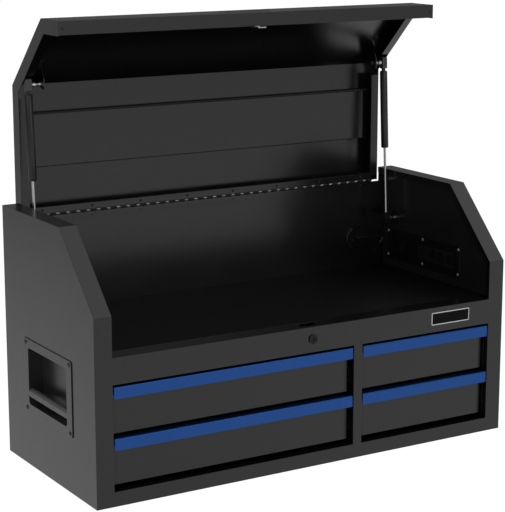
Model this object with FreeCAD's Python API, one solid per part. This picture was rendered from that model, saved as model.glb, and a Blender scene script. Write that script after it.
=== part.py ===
import FreeCAD, Part
import math
import os

# A machinist tool chest of the 41 inch class, in folded steel sheet. Millimetres.
# Origin: centre of the case's base, on the surface that the chest stands on.
# X runs to the right, Y to the rear and Z up. The lid stands open at 90 degrees.

os.makedirs("parts", exist_ok=True)

# ------------------------------------------------------------- driving sizes
small_sides = 12                # flat sides of screws, pins and their holes

# Case
case_width = 1041.0
case_depth = 443.0
case_height = 560.0
front_height = 401.5            # upright front edge of the side panels
slope_depth = 154.0             # how far back their sloping edge reaches
sheet = 1.2                     # steel sheet of case and lid
flange_width = 40.0             # folded edge of a side panel, seen from the front
flange_lip = 12.0               # its return, behind that edge
rear_flange = 13.0
foot_flange = 20.0

# Front frame, floors
bottom_rail_height = 31.4
bay_height = 226.6              # from the bottom rail to the top rail
top_rail_height = 56.3
rail_return = 20.0
bottom_rail_lip = 10.0
rail_ledge = 48.0               # shelf along the top rail
left_bay_width = 588.4
post_width = 21.8
post_return = 34.0
floor_edge = 12.0               # fold along the compartment floor's edges
pan_edge = 15.0

# Lid
lid_side_gap = 4.4              # between the lid and the side panels' edges
lid_front_gap = 1.7             # between the shut lid and the top rail
lid_wall = 31.25                # depth of the lid's side walls
lid_rear_lean = 12.0            # how far the lid's rear wall leans over
lid_ledge = 29.7                # shelf folded in along the lid's front edge
lid_edge_return = 20.0
lid_notch_slope = 56.0          # gap in that return round the strut, along the slope
lid_notch_flat = 14.0
recess_width = 155.0            # hand recess pressed into the lid's front
recess_height = 52.0
recess_floor_width = 82.0
recess_floor_height = 34.0
recess_depth = 12.0
recess_rise = 42.0              # recess centre above the lid's front edge
stiffener_from_hinge = 106.25
stiffener_width = 118.0
stiffener_depth = 10.0
stiffener_flange = 14.0
stiffener_sheet = 1.0
stiffener_inset = 54.0          # from each side of the lid

# Continuous hinge
hinge_back = 2.0                # axis in front of the case's rear plane
pin_radius = 1.5
pin_head_radius = 2.4
pin_head_length = 1.2
knuckle_radius = 3.0
knuckle_length = 12.35
knuckle_gap = 0.2
knuckle_sides = 8
bore_sides = 6
case_knuckles = 37              # the lid leaf has one fewer, between them
hinge_running_gap = 0.05
leaf_thickness = 1.0
leaf_height = 24.0
leaf_clearance = 0.5            # leaf edge to the other leaf's knuckles
wall_clearance = 1.0            # lid wall to the knuckles

# Gas struts
strut_inset = 53.5              # strut's plane, from the side of the case
strut_foot_back = 387.0         # lower pivot, from the front plane
strut_foot_height = 441.0
strut_top_back = 147.7          # upper pivot with the lid shut, from the front plane
strut_top_drop = 63.2           # and below the lid's flat panel
tube_radius = 7.2
tube_bore = 5.9
tube_length = 185.0
tube_end_wall = 4.0
rod_radius = 3.2
rod_overlap = 25.0              # rod left in the tube with the lid open
piston_length = 8.0
strut_running_gap = 0.1
socket_width = 13.0
socket_depth = 13.6
socket_beyond = 13.0            # socket past the pivot
socket_reach = 15.0             # socket from the pivot towards the strut
socket_round = 3.0
neck_radius = 4.2
neck_length = 8.0
pivot_radius = 4.6
pivot_length = 4.6              # pivot beyond the strut's plane
pivot_gap = 0.1
stud_radius = 2.6
collar_radius = 5.0
collar_length = 4.0
collar_gap = 1.0                # stud collar to the socket's side
rivet_radius = 4.2
rivet_height = 1.6
open_pivot_gap = 0.4            # lower stud's tip to its socket
gusset_inset = 84.0             # gusset plate, from the side of the case
gusset_thickness = 2.0
gusset_flat_run = 74.0
gusset_slope_run = 66.0
gusset_foot = 13.0
gusset_margin = 12.0            # metal round the stud's hole
bracket_reach = 22.0
bracket_width = 30.0
bracket_height = 26.0
bracket_ear = 10.0
bracket_sheet = 2.0

# Drawers
drawer_rows = 2
drawer_top_gap = 5.3
drawer_row_gap = 7.3
drawer_bottom_gap = 10.6
drawer_sheet = 0.9
drawer_recess = 15.0            # drawer front behind the case's front plane
drawer_length = 400.0
drawer_side_drop = 21.7         # sides lower than the drawer front
drawer_hem = 6.0
pull_height = 25.0
pull_wall = 1.2
pull_side_gap = 3.0
pull_round = 2.4
pull_hem = 1.8
pull_web = 21.0                 # the pull's strip against the drawer front

# Drawer slides, three members each
slide_space = 12.7
slide_length = 400.0
slide_setback = 17.0
slide_above_drawer = 38.0       # slide's centre above the drawer's underside
slide_height = 35.0
slide_wall = 1.2
slide_gap = 0.5                 # between nested members
slide_cheek = 10.6

# Uprights that carry the outer slides
upright_width = 36.0
upright_wall = 1.5
upright_setback = 14.2

# Side handles
handle_width = 240.0
handle_height = 165.0
handle_corner = 7.0
handle_plate = 2.0
window_side_margin = 24.5       # plate beside the dish's mouth
window_edge_margin = 19.5       # and above and below it
window_corner = 8.0
handle_back = 226.0             # handle's centre, from the front plane
handle_rise = 204.5
dish_depth = 32.0
dish_wall = 1.2
dish_gap = 0.5
grip_height = 20.0
grip_depth = 15.0
grip_corner = 6.5
grip_rise = 14.0                # gap under the grip
handle_screw_side = 11.5        # screws, from the plate's ends
handle_screw_edge = 9.0
screw_head_radius = 4.5
screw_head_height = 2.4
screw_radius = 2.4
screw_length = 9.0
screw_gap = 0.1

# Lock
lock_rise = 287.5
bezel_radius = 10.75
bezel_height = 2.4
lock_radius = 9.4
lock_length = 24.0
lock_hole_gap = 0.1
lock_nut_radius = 13.5
lock_nut_height = 4.0
plug_radius = 6.0
plug_recess = 0.6
plug_gap = 0.05
keyway_width = 1.6
keyway_height = 8.0
keyway_depth = 8.0
cam_gap = 0.4
cam_thickness = 2.0
cam_hub_radius = 7.0
cam_reach = 14.0                # from the lock's axis to the cam's finger
cam_tip_radius = 4.6
finger_radius = 2.5
finger_length = 6.5
cam_screw_radius = 4.0
cam_screw_height = 1.6

# Latch hook that hangs from the lid
hook_thickness = 2.0
hook_width = 20.0
hook_bar = 6.0
hook_drop = 26.0
hook_offset = -4.5              # hook's centre, from the lock's axis
hook_pad = 16.0
slot_width = 40.0
slot_depth = 20.0
slot_back = 24.5                # slot's centre, from the front plane

# Cable grommet in the rear panel
grommet_width = 112.0
grommet_height = 48.0
grommet_rim = 4.0
grommet_lip = 2.5
grommet_web = 1.6
grommet_from_flange = 8.0
grommet_rise = 75.0             # centre above the compartment floor

# Power strip on the right inner wall
strip_length = 300.0
strip_height = 87.0
strip_depth = 24.0
strip_bevel = 6.0
strip_back = 275.0              # centre, from the front plane
strip_rise = 60.0               # centre above the compartment floor
strip_screw_side = 11.0         # screws, from the strip's ends
strip_screw_edge = 13.5
strip_head_radius = 3.8
strip_head_height = 2.0
strip_screw_radius = 1.6
strip_screw_length = 10.0
rocker_from_end = 66.0          # rocker's centre, from the strip's rear end
rocker_length = 30.0
rocker_width = 12.0
rocker_depth = 7.0
rocker_proud = 2.6
rocker_tilt = 7.0
rocker_gap = 0.6
outlet_from_end = 29.0          # outlet panel, from the strip's front end
outlet_width = 136.0
outlet_height = 36.0
outlet_depth = 1.5

# ------------------------------------------------------------- derived places
half_width = case_width / 2
front = -case_depth / 2
back = case_depth / 2
wall_x = half_width - sheet                 # inner face of a side panel
edge_x = half_width - flange_width          # inner edge of its folded flange
rear_face = back - sheet                    # inner face of the rear panel
rail_bottom = bottom_rail_height + bay_height
rail_top = rail_bottom + top_rail_height
floor_top = rail_top - sheet
floor_front = front + rail_ledge            # where the floor meets the rail's shelf
fold_bottom = floor_top - floor_edge        # lower edge of the folds round the floor
post_left = -edge_x + left_bay_width
post_right = post_left + post_width
bays = {"left": (-edge_x, post_left), "right": (post_right, edge_x)}
row_space = bay_height - drawer_top_gap - drawer_bottom_gap
drawer_height = (row_space + drawer_row_gap) / drawer_rows - drawer_row_gap
rows = {
    name: bottom_rail_height + drawer_bottom_gap + i * (drawer_height + drawer_row_gap)
    for i, name in enumerate(["lower", "upper"])
}
hinge_y = back - hinge_back
hinge_z = case_height - lid_wall
lid_half = edge_x - lid_side_gap
lid_bottom = rail_top + lid_front_gap
strut_x = half_width - strut_inset
strut_top_height = case_height - strut_top_drop
window_width = handle_width - 2 * window_side_margin
window_height = handle_height - 2 * window_edge_margin
handle_y = front + handle_back
handle_z = handle_rise
strip_y = front + strip_back
strip_z = floor_top + strip_rise
strip_face = wall_x - strip_depth
hook_y = front + lid_ledge + hook_thickness / 2
lock_x = 0.0


# ------------------------------------------------------------- small helpers
def vector(x, y, z):
    return FreeCAD.Vector(x, y, z)


def box(x0, x1, y0, y1, z0, z1):
    return Part.makeBox(x1 - x0, y1 - y0, z1 - z0, vector(x0, y0, z0))


def rod_x(radius, x0, x1, y, z):
    start = vector(min(x0, x1), y, z)
    return Part.makeCylinder(radius, abs(x1 - x0), start, vector(1, 0, 0))


def rod_y(radius, y0, y1, x, z):
    return Part.makeCylinder(radius, y1 - y0, vector(x, y0, z), vector(0, 1, 0))


def pushed(corners, travel):
    face = Part.Face(Part.makePolygon(corners + corners[:1]))
    return face.extrude(travel)


def profile_x(points, x0, x1):
    # A Y-Z outline pushed along X.
    return pushed([vector(x0, y, z) for y, z in points], vector(x1 - x0, 0, 0))


def profile_y(points, y0, y1):
    # An X-Z outline pushed along Y.
    return pushed([vector(x, y0, z) for x, z in points], vector(0, y1 - y0, 0))


def prism_x(radius, sides, x0, x1, y, z):
    # A bar with flat sides whose corners lie on the radius.
    x0, x1 = min(x0, x1), max(x0, x1)
    turns = [2 * math.pi * (i + 0.5) / sides for i in range(sides)]
    points = [(y + radius * math.cos(t), z + radius * math.sin(t)) for t in turns]
    return profile_x(points, x0, x1)


def bar_x(radius, x0, x1, y, z):
    return prism_x(radius, small_sides, x0, x1, y, z)


def hole_x(radius, x0, x1, y, z):
    # A hole whose flats clear a bar of that radius.
    clear = (radius + screw_gap) / math.cos(math.pi / small_sides)
    return prism_x(clear, small_sides, x0, x1, y, z)


def rounded(shape, radius, along):
    # Fillets every edge that runs along one axis.
    edges = [e for e in shape.Edges if abs(e.tangentAt(e.FirstParameter).dot(along)) > 0.999]
    return shape.makeFillet(radius, edges)


def edges_at(shape, y, z):
    # The edges along X at one place.
    found = []
    for edge in shape.Edges:
        ends = edge.Vertexes
        if all(abs(v.Y - y) < 0.001 and abs(v.Z - z) < 0.001 for v in ends):
            found.append(edge)
    return found


def plate_x(x0, x1, y, z, width, height, corner):
    # A plate across X with rounded corners, centred on (y, z).
    plate = box(x0, x1, y - width / 2, y + width / 2, z - height / 2, z + height / 2)
    return rounded(plate, corner, vector(1, 0, 0))


def union(shapes):
    return shapes[0].fuse(shapes[1:]).removeSplitter()


def mirrored(shape):
    return shape.mirror(vector(0, 0, 0), vector(1, 0, 0))


def both_sides(shape):
    return [shape, mirrored(shape)]


def offset_line(points, distance):
    # A line of points moved to its right by distance, with mitred corners.
    moved = []
    for i, (y, z) in enumerate(points):
        normals = []
        for a in (i - 1, i):
            if 0 <= a < len(points) - 1:
                dy = points[a + 1][0] - points[a][0]
                dz = points[a + 1][1] - points[a][1]
                length = math.hypot(dy, dz)
                normals.append((dz / length, -dy / length))
        ny = sum(n[0] for n in normals) / len(normals)
        nz = sum(n[1] for n in normals) / len(normals)
        square = ny * ny + nz * nz
        moved.append((y + distance * ny / square, z + distance * nz / square))
    return moved


def band(points, near, far):
    # The strip of sheet between two offsets of a line of points.
    return offset_line(points, near) + offset_line(points, far)[::-1]


def opened(shape):
    # A piece of the shut lid, swung up to where the lid stands open.
    turned = shape.copy()
    turned.rotate(vector(0, hinge_y, hinge_z), vector(1, 0, 0), -90)
    return turned


def save(name, *shapes):
    whole = shapes[0] if len(shapes) == 1 else Part.makeCompound(list(shapes))
    whole.exportStep("parts/" + name + ".step")
    radius_note = whole.BoundBox
    print(name, len(whole.Solids), whole.isValid(), round(whole.Volume / 1000, 2),
          [round(v, 1) for v in (radius_note.XMin, radius_note.XMax, radius_note.YMin,
                                 radius_note.YMax, radius_note.ZMin, radius_note.ZMax)])


# ------------------------------------------------------------- side panels
side_line = [
    (front, 0),
    (front, front_height),
    (front + slope_depth, case_height),
    (back, case_height),
]


def screw_grid(y, z, span, rise, columns, turn_rows=(-0.5, 0.5)):
    return [(y + c * span, z + r * rise) for c in columns for r in turn_rows]


handle_screws = screw_grid(handle_y, handle_z, handle_width - 2 * handle_screw_side,
                           handle_height - 2 * handle_screw_edge, (-0.5, 0.5))


def handle_screw_holes():
    x0, x1 = -half_width - handle_plate - 1, -wall_x + 1
    return [hole_x(screw_radius, x0, x1, y, z) for y, z in handle_screws]


def side_panel():
    skin = profile_x(side_line + [(back, 0)], -half_width, -wall_x)
    edge = profile_x(band(side_line, 0, sheet), -half_width, -edge_x)
    lip_line = [(front, sheet)] + side_line[1:]
    lip = profile_x(band(lip_line, 0, flange_lip + sheet), -edge_x - sheet, -edge_x)
    rear = box(-wall_x, -wall_x + rear_flange, rear_face - sheet, rear_face,
               sheet, case_height - sheet)
    foot = box(-wall_x, -wall_x + foot_flange, front + sheet, rear_face - sheet,
               sheet, 2 * sheet)
    rim = dish_wall + dish_gap
    window = plate_x(-half_width - 1, -wall_x + 1, handle_y, handle_z,
                     window_width + 2 * rim, window_height + 2 * rim, window_corner + rim)
    return union([skin, edge, lip, rear, foot]).cut([window] + handle_screw_holes())


save("left_side_panel", side_panel())
save("right_side_panel", mirrored(side_panel()))


# ------------------------------------------------------------- side handles
def handle_dish():
    # A steel plate on the side panel, with a dish formed behind its window.
    x0 = -half_width
    plate = plate_x(x0 - handle_plate, x0, handle_y, handle_z,
                    handle_width, handle_height, handle_corner)
    outside = plate_x(x0 - handle_plate, x0 + dish_depth + dish_wall, handle_y, handle_z,
                      window_width + 2 * dish_wall, window_height + 2 * dish_wall,
                      window_corner + dish_wall)
    inside = plate_x(x0 - handle_plate - 1, x0 + dish_depth, handle_y, handle_z,
                     window_width, window_height, window_corner)
    return plate.fuse(outside).cut([inside] + handle_screw_holes()).removeSplitter()


def handle_grip():
    # A bar across the window, rounded where the fingers close round it.
    x0 = -half_width - handle_plate
    bottom = handle_z - window_height / 2 + grip_rise
    bar = box(x0, x0 + grip_depth, handle_y - window_width / 2, handle_y + window_width / 2,
              bottom, bottom + grip_height)
    return rounded(bar, grip_corner, vector(0, 1, 0))


def handle_screw(y, z):
    face = -half_width - handle_plate
    head = bar_x(screw_head_radius, face - screw_head_height, face, y, z)
    return head.fuse(bar_x(screw_radius, face, face + screw_length, y, z))


save("left_handle_dish", handle_dish())
save("right_handle_dish", mirrored(handle_dish()))
save("left_handle_grip", handle_grip())
save("right_handle_grip", mirrored(handle_grip()))
left_screws = [handle_screw(y, z) for y, z in handle_screws]
save("handle_screws", *left_screws, *[mirrored(s) for s in left_screws])


# ------------------------------------------------------------- rear panel, grommet
grommet_x = wall_x - rear_flange - grommet_from_flange - grommet_width / 2
grommet_z = floor_top + grommet_rise


def obround(y0, y1, spare):
    # The grommet's outline, larger all round by spare.
    radius = grommet_height / 2 + spare
    reach = (grommet_width - grommet_height) / 2
    middle = box(grommet_x - reach, grommet_x + reach, y0, y1,
                 grommet_z - radius, grommet_z + radius)
    ends = [rod_y(radius, y0, y1, grommet_x + side * reach, grommet_z) for side in (-1, 1)]
    return union([middle] + ends)


def rear_panel():
    top = hinge_z - knuckle_radius - leaf_clearance
    plate = box(-wall_x, wall_x, rear_face, back, sheet, top)
    return plate.cut(obround(rear_face - 1, back + 1, 0))


def cable_grommet():
    # A rubber rim inside the panel, and a thin web across the hole that is slit for cables.
    rim = obround(rear_face - grommet_lip, rear_face, grommet_rim)
    bore = obround(rear_face - grommet_lip - 1, rear_face - grommet_web, -grommet_rim)
    plug = obround(rear_face, back, 0)
    return union([rim.cut(bore), plug])


save("rear_panel", rear_panel())
save("cable_grommet", cable_grommet())


# ------------------------------------------------------------- base, rails, post, floor
def base_pan():
    plate = box(-wall_x, wall_x, front + sheet, rear_face, 0, sheet)
    span = edge_x - foot_flange
    fronts = (front + rail_return, rear_face - sheet)
    edges = [box(-span, span, y, y + sheet, sheet, pan_edge) for y in fronts]
    return union([plate] + edges)


def bottom_rail():
    top, rear = bottom_rail_height, front + rail_return
    face = box(-edge_x, edge_x, front, front + sheet, 0, top)
    shelf = box(-edge_x, edge_x, front, rear, top - sheet, top)
    lip = box(-edge_x, edge_x, rear - sheet, rear, top - bottom_rail_lip, top)
    foot = box(-edge_x, edge_x, front, rear, sheet, 2 * sheet)
    return union([face, shelf, lip, foot])


def top_rail():
    # The rail carries the lock, and its shelf has the slot that the lid's hook drops into.
    face = box(-edge_x, edge_x, front, front + sheet, rail_bottom, rail_top)
    under = box(-edge_x, edge_x, front, front + rail_return, rail_bottom, rail_bottom + sheet)
    shelf = box(-edge_x, edge_x, front, floor_front, floor_top, rail_top)
    lip = box(-edge_x, edge_x, floor_front - sheet, floor_front, fold_bottom, rail_top)
    hole = rod_y(lock_radius + lock_hole_gap, front - 1, front + sheet + 1, lock_x, lock_rise)
    slot_y = front + slot_back
    slot = box(lock_x - slot_width / 2, lock_x + slot_width / 2,
               slot_y - slot_depth / 2, slot_y + slot_depth / 2, floor_top - 1, rail_top + 1)
    return union([face, under, shelf, lip]).cut([hole, slot])


def channel(y0, y1, web_y0, z0, z1, wall):
    # Two cheeks at the post's faces, joined by a web.
    cheeks = [
        box(post_left, post_left + wall, y0, y1, z0, z1),
        box(post_right - wall, post_right, y0, y1, z0, z1),
    ]
    return union(cheeks + [box(post_left, post_right, web_y0, web_y0 + wall, z0, z1)])


def column_divider():
    # A folded channel behind the post, which carries the inner slides.
    y0, y1 = front + post_return, rear_face - sheet
    walls = channel(y0, y1, y1 - sheet, sheet, fold_bottom, sheet)
    foot = box(post_left, post_right, y0, y1, sheet, 2 * sheet)
    return union([walls, foot])


def compartment_floor():
    rear = rear_face - sheet
    plate = box(-wall_x, wall_x, floor_front, rear, floor_top - sheet, floor_top)
    folds = [
        box(-wall_x, wall_x, floor_front, floor_front + sheet, fold_bottom, floor_top),
        box(-wall_x, -wall_x + sheet, floor_front, rear, fold_bottom, floor_top),
        box(wall_x - sheet, wall_x, floor_front, rear, fold_bottom, floor_top),
    ]
    return union([plate] + folds)


def slide_upright(y0):
    # A channel from the side panel to the drawer opening's edge.
    y1 = y0 + upright_width
    web = box(-edge_x - upright_wall, -edge_x, y0, y1, 2 * sheet, fold_bottom)
    legs = [
        box(-wall_x, -edge_x, y, y + upright_wall, 2 * sheet, fold_bottom)
        for y in (y0, y1 - upright_wall)
    ]
    return union([web] + legs)


slide_end = front + slide_setback + slide_length
uprights = [slide_upright(y) for y in (front + upright_setback, slide_end - upright_width)]

save("base_pan", base_pan())
save("bottom_rail", bottom_rail())
save("top_rail", top_rail())
save("centre_post",
     channel(front, front + post_return, front, bottom_rail_height, rail_bottom, sheet))
save("column_divider", column_divider())
save("compartment_floor", compartment_floor())
save("slide_uprights", *uprights, *[mirrored(u) for u in uprights])


# ------------------------------------------------------------- lock
cam_y = front + lock_length + cam_gap


def lock_barrel():
    bezel = rod_y(bezel_radius, front - bezel_height, front, lock_x, lock_rise)
    body = rod_y(lock_radius, front, front + lock_length, lock_x, lock_rise)
    turns = [math.pi * i / 3 for i in range(6)]
    corners = [
        (lock_x + lock_nut_radius * math.cos(t), lock_rise + lock_nut_radius * math.sin(t))
        for t in turns
    ]
    nut = profile_y(corners, front + sheet, front + sheet + lock_nut_height)
    bore = rod_y(plug_radius + plug_gap, front - bezel_height - 1, front + lock_length + 1,
                 lock_x, lock_rise)
    return union([bezel, body, nut]).cut(bore)


def lock_plug():
    face = front - bezel_height + plug_recess
    plug = rod_y(plug_radius, face, cam_y, lock_x, lock_rise)
    keyway = box(lock_x - keyway_width / 2, lock_x + keyway_width / 2,
                 face - 1, face + keyway_depth,
                 lock_rise - keyway_height / 2, lock_rise + keyway_height / 2)
    return plug.cut(keyway)


def lock_cam():
    # It points to the right when unlocked; a quarter turn lifts its finger over the hook.
    rear = cam_y + cam_thickness
    hub = rod_y(cam_hub_radius, cam_y, rear, lock_x, lock_rise)
    arm = box(lock_x, lock_x + cam_reach, cam_y, rear,
              lock_rise - cam_tip_radius, lock_rise + cam_tip_radius)
    tip = rod_y(cam_tip_radius, cam_y, rear, lock_x + cam_reach, lock_rise)
    finger = rod_y(finger_radius, rear, rear + finger_length, lock_x + cam_reach, lock_rise)
    screw = rod_y(cam_screw_radius, rear, rear + cam_screw_height, lock_x, lock_rise)
    return union([hub, arm, tip, finger, screw])


save("lock_barrel", lock_barrel())
save("lock_plug", lock_plug())
save("lock_cam", lock_cam())


# ------------------------------------------------------------- power strip
strip_screws = screw_grid(strip_y, strip_z, strip_length - 2 * strip_screw_side,
                          strip_height - 2 * strip_screw_edge, (-0.5, 0, 0.5))
rocker_y = strip_y + strip_length / 2 - rocker_from_end


def power_strip():
    y0, y1 = strip_y - strip_length / 2, strip_y + strip_length / 2
    case = box(strip_face, wall_x, y0, y1, strip_z - strip_height / 2, strip_z + strip_height / 2)
    rim = [e for e in case.Edges if max(abs(v.X - strip_face) for v in e.Vertexes) < 0.001]
    case = case.makeChamfer(strip_bevel, rim)
    half_width_y = rocker_width / 2 + rocker_gap
    half_length_z = rocker_length / 2 + rocker_gap
    well = box(strip_face - 1, strip_face + rocker_depth + 2,
               rocker_y - half_width_y, rocker_y + half_width_y,
               strip_z - half_length_z, strip_z + half_length_z)
    outlets = box(strip_face - 1, strip_face + outlet_depth,
                  y0 + outlet_from_end, y0 + outlet_from_end + outlet_width,
                  strip_z - outlet_height / 2, strip_z + outlet_height / 2)
    holes = [
        hole_x(strip_screw_radius, strip_face - 1, strip_face + strip_screw_length + 1, y, z)
        for y, z in strip_screws
    ]
    return case.cut([well, outlets] + holes)


def power_rocker():
    # A rocker key, dished across its middle, that rests tipped to one side.
    half = rocker_length / 2
    deep, proud = strip_face + rocker_depth, strip_face - rocker_proud
    outline = [
        (deep, strip_z - half * 0.7),
        (deep, strip_z + half * 0.7),
        (proud, strip_z + half * 0.94),
        (strip_face - rocker_proud * 0.3, strip_z),
        (proud, strip_z - half * 0.94),
    ]
    key = profile_y(outline, rocker_y - rocker_width / 2, rocker_y + rocker_width / 2)
    key.rotate(vector(strip_face, rocker_y, strip_z), vector(0, 1, 0), rocker_tilt)
    return key


def strip_screw(y, z):
    head = bar_x(strip_head_radius, strip_face - strip_head_height, strip_face, y, z)
    return head.fuse(bar_x(strip_screw_radius, strip_face, strip_face + strip_screw_length, y, z))


save("power_strip", power_strip())
save("power_rocker", power_rocker())
save("power_strip_screws", *[strip_screw(y, z) for y, z in strip_screws])


# ------------------------------------------------------------- continuous hinge
# The lid's rear wall and the lid leaf lie along a line that leans forward from the axis.
lean = math.hypot(lid_rear_lean, lid_wall)
wall_along = (-lid_rear_lean / lean, lid_wall / lean)
wall_out = (lid_wall / lean, lid_rear_lean / lean)
knuckle_pitch = knuckle_length + knuckle_gap
hinge_half = case_knuckles * knuckle_pitch - knuckle_pitch / 2 - knuckle_gap / 2


def on_wall(along, out):
    y = hinge_y + along * wall_along[0] + out * wall_out[0]
    z = hinge_z + along * wall_along[1] + out * wall_out[1]
    return y, z


def knuckle_starts(first, count):
    return [-hinge_half + (first + 2 * i) * knuckle_pitch for i in range(count)]


def hinge_leaf(starts, sheet_outline, tab_outline):
    # A strip with a roll along its edge, cut into knuckles, and a tab up to each.
    strip = profile_x(sheet_outline, -hinge_half, hinge_half)
    pieces = [strip]
    for x in starts:
        roll = prism_x(knuckle_radius, knuckle_sides, x, x + knuckle_length, hinge_y, hinge_z)
        pieces.append(union([roll, profile_x(tab_outline, x, x + knuckle_length)]))
    flat = math.cos(math.pi / bore_sides)
    bore = prism_x((pin_radius + hinge_running_gap) / flat, bore_sides,
                   -hinge_half - 1, hinge_half + 1, hinge_y, hinge_z)
    return union(pieces).cut(bore)


def case_leaf():
    leaf_front, leaf_top = rear_face - leaf_thickness, hinge_z - knuckle_radius - leaf_clearance
    low, reach = leaf_top - leaf_height, hinge_z - (knuckle_radius + pin_radius) / 2
    strip = [(leaf_front, low), (rear_face, low), (rear_face, leaf_top), (leaf_front, leaf_top)]
    tab = [(leaf_front, leaf_top), (rear_face, leaf_top), (rear_face, reach), (leaf_front, reach)]
    return hinge_leaf(knuckle_starts(0, case_knuckles), strip, tab)


def lid_leaf():
    half, start = leaf_thickness / 2, knuckle_radius + leaf_clearance
    inner = (knuckle_radius + pin_radius) / 2
    strip = [on_wall(start, -half), on_wall(start, half),
             on_wall(start + leaf_height, half), on_wall(start + leaf_height, -half)]
    tab = [on_wall(inner, -half), on_wall(inner, half), on_wall(start, half), on_wall(start, -half)]
    return hinge_leaf(knuckle_starts(1, case_knuckles - 1), strip, tab)


def hinge_pin():
    pin = bar_x(pin_radius, -hinge_half, hinge_half, hinge_y, hinge_z)
    head = bar_x(pin_head_radius, hinge_half, hinge_half + pin_head_length, hinge_y, hinge_z)
    return union([pin, head, mirrored(head)])


save("hinge_case_leaf", case_leaf())
save("hinge_lid_leaf", opened(lid_leaf()))
save("hinge_pin", hinge_pin())


# ------------------------------------------------------------- lid
wall_foot = on_wall(knuckle_radius + wall_clearance, leaf_thickness / 2 + sheet)
rear_rise = (case_height - wall_foot[1]) / wall_along[1]
lid_rear_top = (wall_foot[0] + rear_rise * wall_along[0], case_height)
lid_line = [
    (front, lid_bottom),
    (front, front_height),
    (front + slope_depth, case_height),
    lid_rear_top,
]
slope = math.hypot(slope_depth, case_height - front_height)
down_slope = (-slope_depth / slope, (front_height - case_height) / slope)
strut_top_y = front + strut_top_back


def recess_loft(spare):
    # The hand recess, from its mouth in the lid's front to its floor.
    centre = lid_bottom + recess_rise
    wires = []
    for depth, width, height in (
        (-spare, recess_width, recess_height),
        (recess_depth, recess_floor_width, recess_floor_height),
    ):
        grow = sheet - spare
        x, z, y = width / 2 + grow, height / 2 + grow, front + depth + grow
        corners = [(-x, -z), (x, -z), (x, z), (-x, z), (-x, -z)]
        wires.append(Part.makePolygon([vector(a, y, centre + b) for a, b in corners]))
    return Part.makeLoft(wires, True, True)


def lid_side():
    # One end of the lid: a wall across the folds and the return round its edge.
    inner_line = offset_line(lid_line, lid_wall)
    outline = lid_line + [wall_foot, (wall_foot[0], hinge_z)] + inner_line[:-1][::-1]
    wall = profile_x(outline, -lid_half, -lid_half + sheet)
    returned = profile_x(band(lid_line[1:], lid_wall - sheet, lid_wall),
                         -lid_half, -lid_half + lid_edge_return)
    bend = inner_line[2]
    low = (bend[0] + lid_notch_slope * down_slope[0], bend[1] + lid_notch_slope * down_slope[1])
    notch = box(-lid_half + sheet, -lid_half + lid_edge_return + 1,
                low[0], bend[0] + lid_notch_flat, low[1], case_height)
    return wall.fuse(returned.cut(notch)).removeSplitter()


def lid_shell():
    full = (-lid_half, lid_half)
    skin = profile_x(band(lid_line + [wall_foot], 0, sheet), *full)
    ledge = box(*full, front, front + lid_ledge, lid_bottom, lid_bottom + sheet)
    shell = union([skin, ledge] + both_sides(lid_side()))
    return shell.fuse(recess_loft(0)).cut(recess_loft(sheet)).removeSplitter()


def lid_stiffener():
    # A hat section across the inside of the lid's flat panel.
    top = case_height - sheet
    y1 = hinge_y - stiffener_from_hinge
    y0 = y1 - stiffener_width
    line = [
        (y0 - stiffener_flange, top),
        (y0, top),
        (y0, top - stiffener_depth),
        (y1, top - stiffener_depth),
        (y1, top),
        (y1 + stiffener_flange, top),
    ]
    half = lid_half - stiffener_inset
    return profile_x(band(line, 0, stiffener_sheet), -half, half)


def strut_gusset():
    # A plate in the corner of flat panel and slope, on two welded feet, for the upper stud.
    inside = offset_line(lid_line, sheet)
    bend = inside[2]
    x1 = -half_width + gusset_inset
    x2 = x1 + gusset_thickness
    flat_end = (bend[0] + gusset_flat_run, bend[1])
    slope_end = (bend[0] + gusset_slope_run * down_slope[0],
                 bend[1] + gusset_slope_run * down_slope[1])
    low = strut_top_height - gusset_margin
    tip = [(strut_top_y + gusset_margin, low), (strut_top_y - gusset_margin, low)]
    plate = profile_x([slope_end, bend, flat_end] + tip, x1, x2)
    foot_line = [slope_end, bend, flat_end]
    feet = profile_x(band(foot_line, 0, gusset_thickness), x1, x1 + gusset_foot)
    hole = hole_x(stud_radius, x1 - 1, x2 + 1, strut_top_y, strut_top_height)
    return union([plate, feet]).cut(hole)


def upper_stud():
    # Pivot in the socket, collar beside it, shank, collar on the gusset and a riveted end.
    y, z = strut_top_y, strut_top_height
    plate = -half_width + gusset_inset
    mouth = -strut_x + socket_width / 2 + collar_gap
    rivet = plate + gusset_thickness
    return union([
        bar_x(pivot_radius, -strut_x - pivot_length, mouth, y, z),
        bar_x(collar_radius, mouth, mouth + collar_length, y, z),
        bar_x(stud_radius, mouth, rivet, y, z),
        bar_x(collar_radius, plate - collar_length, plate, y, z),
        bar_x(rivet_radius, rivet, rivet + rivet_height, y, z),
    ])


def latch_hook():
    # A strap over the lid's front ledge: pad, leg, and a foot that the lock's finger holds.
    x0 = lock_x + hook_offset - hook_width / 2
    ledge_top = lid_bottom + sheet
    y0, y1 = hook_y - hook_thickness / 2, hook_y + hook_thickness / 2
    low = lid_bottom - hook_drop
    pad = box(x0, x0 + hook_width, y0 - hook_pad, y1, ledge_top, ledge_top + hook_thickness)
    leg = box(x0, x0 + hook_bar, y0, y1, low, ledge_top)
    foot = box(x0, x0 + hook_width, y0, y1, low, low + hook_bar)
    return union([pad, leg, foot])


save("lid_shell", opened(lid_shell()))
save("lid_stiffener", opened(lid_stiffener()))
save("strut_top_gussets", *[opened(s) for s in both_sides(strut_gusset())])
save("strut_top_studs", *[opened(s) for s in both_sides(upper_stud())])
save("latch_hook", opened(latch_hook()))


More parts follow.
